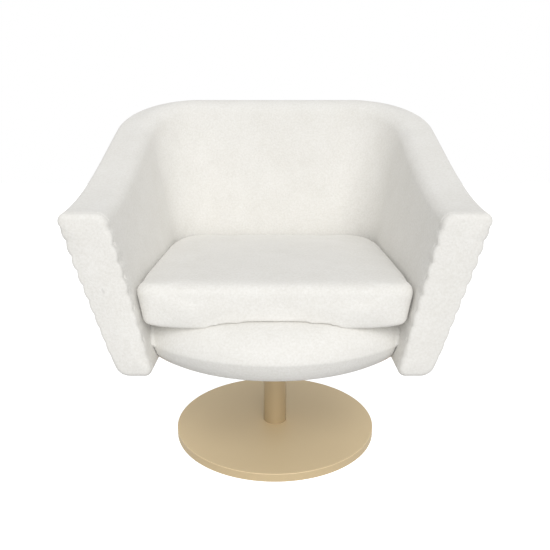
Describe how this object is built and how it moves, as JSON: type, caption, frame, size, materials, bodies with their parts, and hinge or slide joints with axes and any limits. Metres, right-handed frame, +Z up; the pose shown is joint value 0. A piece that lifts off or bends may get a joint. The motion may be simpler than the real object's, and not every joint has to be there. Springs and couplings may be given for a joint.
{
  "type": "pedestal swivel armchair",
  "caption": "Upholstered tub armchair with a sloping rim and a loose seat cushion, turning on a round metal column over a flat disc base.",
  "frame": {"origin": "on the floor, under the middle of the column and disc base", "axes": "+Z up, the sitter looks along -Y, the sitter's left is +X"},
  "size_m": [0.8194, 0.7603, 0.826],
  "materials": {
    "upholstery": "felted off-white boucle",
    "foam": "open-cell foam",
    "plywood": "raw birch plywood",
    "dust_cloth": "black non-woven cloth",
    "champagne_metal": "satin champagne",
    "cast_ballast": "raw casting, painted black",
    "zinc_steel": "zinc plated",
    "bearing_steel": "ground",
    "bearing_plastic": "moulded nylon",
    "black_steel": "black powder coat",
    "felt": "pressed felt"
  },
  "bodies": {
    "pedestal": {"base_cover": "champagne_metal", "base_weight": "cast_ballast", "floor_glides": "felt", "centre_pad": "felt", "base_bolt": "zinc_steel", "base_washer": "zinc_steel", "column_foot_plug": "zinc_steel", "column_tube": "champagne_metal", "upper_bush": "bearing_plastic", "lower_bush": "bearing_plastic", "lower_race": "bearing_steel"},
    "bearing_cage": {"roller_cage": "bearing_plastic", "needle_rollers": "bearing_steel"},
    "seat": {"upper_race": "bearing_steel", "spindle": "bearing_steel", "spindle_keeper_washer": "zinc_steel", "spindle_keeper_bolt": "zinc_steel", "swivel_plate": "black_steel", "mounting_bolts": "zinc_steel", "seat_board": "plywood", "dust_cover": "dust_cloth", "shell_board": "plywood", "left_arm_post": "plywood", "right_arm_post": "plywood", "shell_foam": "foam", "outside_cover": "upholstery", "inside_cover": "upholstery", "left_arm_facing": "upholstery", "right_arm_facing": "upholstery", "deck_foam": "foam", "deck_cover": "upholstery"},
    "cushion": {"cushion_foam": "foam", "cushion_cover": "upholstery"}
  },
  "joints": [
    {"name": "seat_swivel", "type": "hinge", "parent": "pedestal", "child": "seat", "pos_m": [0, 0, 0.258], "axis": [0, 0, 1], "continuous": true},
    {"name": "cage_turn", "type": "hinge", "parent": "pedestal", "child": "bearing_cage", "pos_m": [0, 0, 0.258], "axis": [0, 0, 1], "continuous": true},
    {"name": "cushion_lift", "type": "slide", "parent": "seat", "child": "cushion", "axis": [0, 0, 1], "range_m": [0, 0.25]}
  ],
  "couplings": [
    {"joint": "cage_turn", "follows": "seat_swivel", "ratio": 0.5}
  ]
}
